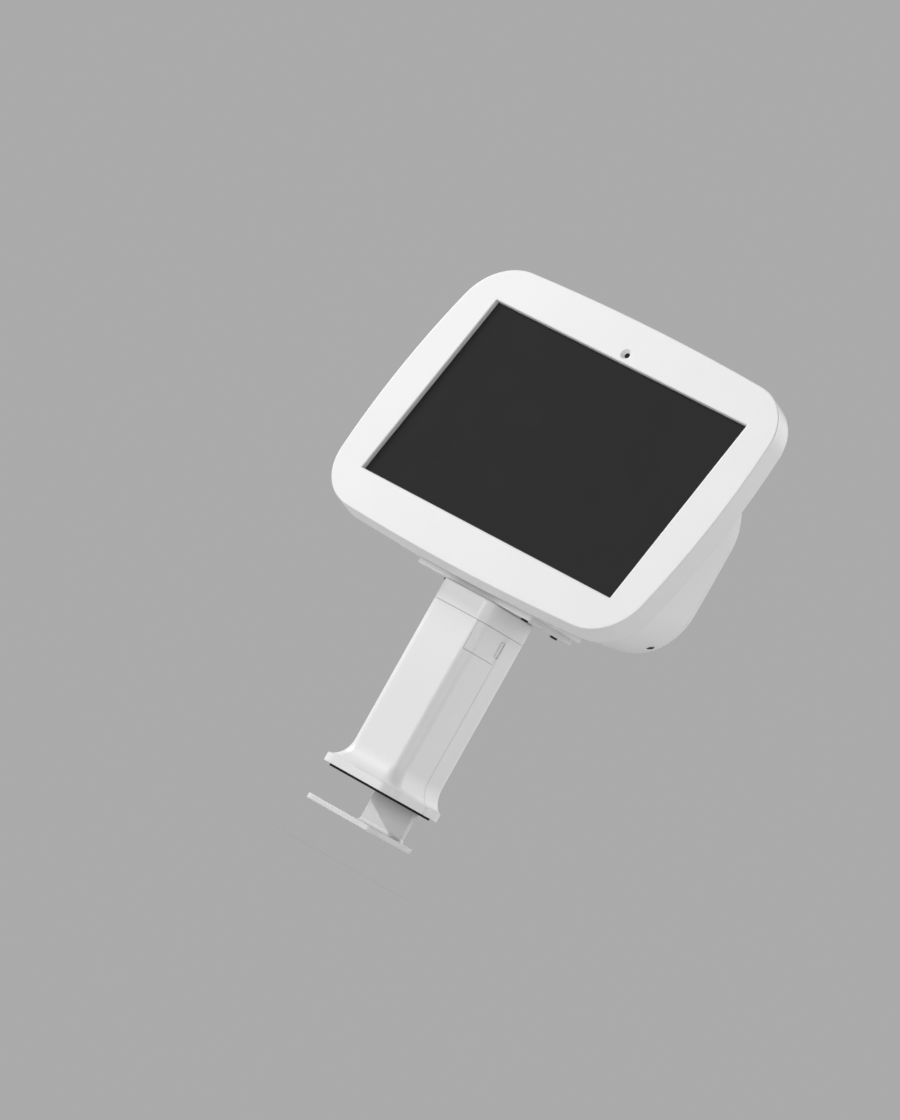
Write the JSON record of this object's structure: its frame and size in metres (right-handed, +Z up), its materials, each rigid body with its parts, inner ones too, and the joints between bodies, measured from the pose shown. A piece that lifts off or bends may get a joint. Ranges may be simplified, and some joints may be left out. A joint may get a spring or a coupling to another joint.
{
  "type": "tablet stand with desk clamp",
  "caption": "Tablet case with a camera hole on a short swivelling post; a flared foot and a bent steel jaw clamp it to a desk edge or hole.",
  "frame": {"origin": "middle of the underside of the foot pad, which rests on the desk", "axes": "+X to the right of a person reading the screen, +Y away from them, +Z up"},
  "size_m": [0.2696, 0.0979, 0.3495],
  "materials": {
    "white_shell": "satin moulded white",
    "grey_plate": "pale grey powder coat",
    "strap_steel": "pale grey satin powder coat",
    "black_rubber": "matt black",
    "screen_glass": "dark cover glass over a switched-off screen",
    "tablet_shell": "dark grey anodised",
    "lens_black": "dark lens",
    "black_screws": "black oxide",
    "zinc_steel": "bright zinc plate",
    "plain_steel": "zinc plated sheet",
    "channel_aluminium": "mill finish",
    "nut_brass": "machined",
    "bush_plastic": "black low-friction plastic"
  },
  "bodies": {
    "post": {"neck_front_shell": "white_shell", "neck_rear_cover": "white_shell", "neck_top_collar": "white_shell", "collar_screws": "zinc_steel", "core_channel": "channel_aluminium", "post_top_plate": "plain_steel", "channel_top_screws": "zinc_steel", "channel_foot_screws": "zinc_steel", "base_plate": "plain_steel", "foot_shell_screws": "zinc_steel", "desk_pad": "black_rubber", "strap_guide_upper": "bush_plastic", "strap_guide_lower": "bush_plastic", "screw_bearing_bracket": "plain_steel", "bearing_screws": "zinc_steel", "screw_foot_bush": "bush_plastic", "swivel_bolt": "zinc_steel", "swivel_thrust_ring": "bush_plastic", "swivel_spring_washers": "zinc_steel", "swivel_lock_nut": "zinc_steel", "stop_pin": "zinc_steel"},
    "head": {"bezel_frame": "white_shell", "rear_housing": "white_shell", "rear_cover": "white_shell", "rear_cover_screws": "zinc_steel", "underside_plate": "grey_plate", "underside_screws": "black_screws", "tablet_glass": "screen_glass", "tablet_body": "tablet_shell", "camera_lens": "lens_black", "tablet_corner_pads": "black_rubber", "tablet_tray": "plain_steel", "tray_screws": "zinc_steel", "head_bracket": "plain_steel", "bracket_screws": "zinc_steel", "swivel_bush": "bush_plastic", "lock_slot_insert": "zinc_steel", "cable_grommet": "black_rubber"},
    "clamp": {"clamp_bracket": "strap_steel", "clamp_nut": "nut_brass", "clamp_nut_screws": "zinc_steel"},
    "clamp_screw": {"lead_screw": "zinc_steel", "screw_clip": "zinc_steel", "thumbwheel": "bush_plastic", "wheel_nut": "zinc_steel"},
    "door": {"access_door": "white_shell"}
  },
  "joints": [
    {"name": "head_swivel", "type": "hinge", "parent": "post", "child": "head", "pos_m": [0, 0.003, 0.1385], "axis": [0, 0, 1], "range_deg": [-160, 160]},
    {"name": "clamp_slide", "type": "slide", "parent": "post", "child": "clamp", "axis": [0, 0, 1], "range_m": [-0.024, 0.015]},
    {"name": "clamp_turn", "type": "hinge", "parent": "post", "child": "clamp_screw", "pos_m": [0, -0.001, 0.05], "axis": [0, 0, 1], "range_deg": [-1400, 2200]},
    {"name": "access_door_hinge", "type": "hinge", "parent": "post", "child": "door", "pos_m": [0.0185, -0.022, 0.11], "axis": [0, 0, -1], "range_deg": [0, 100]}
  ],
  "couplings": [
    {"joint": "clamp_turn", "follows": "clamp_slide", "rad_per_m": -1570.8}
  ]
}
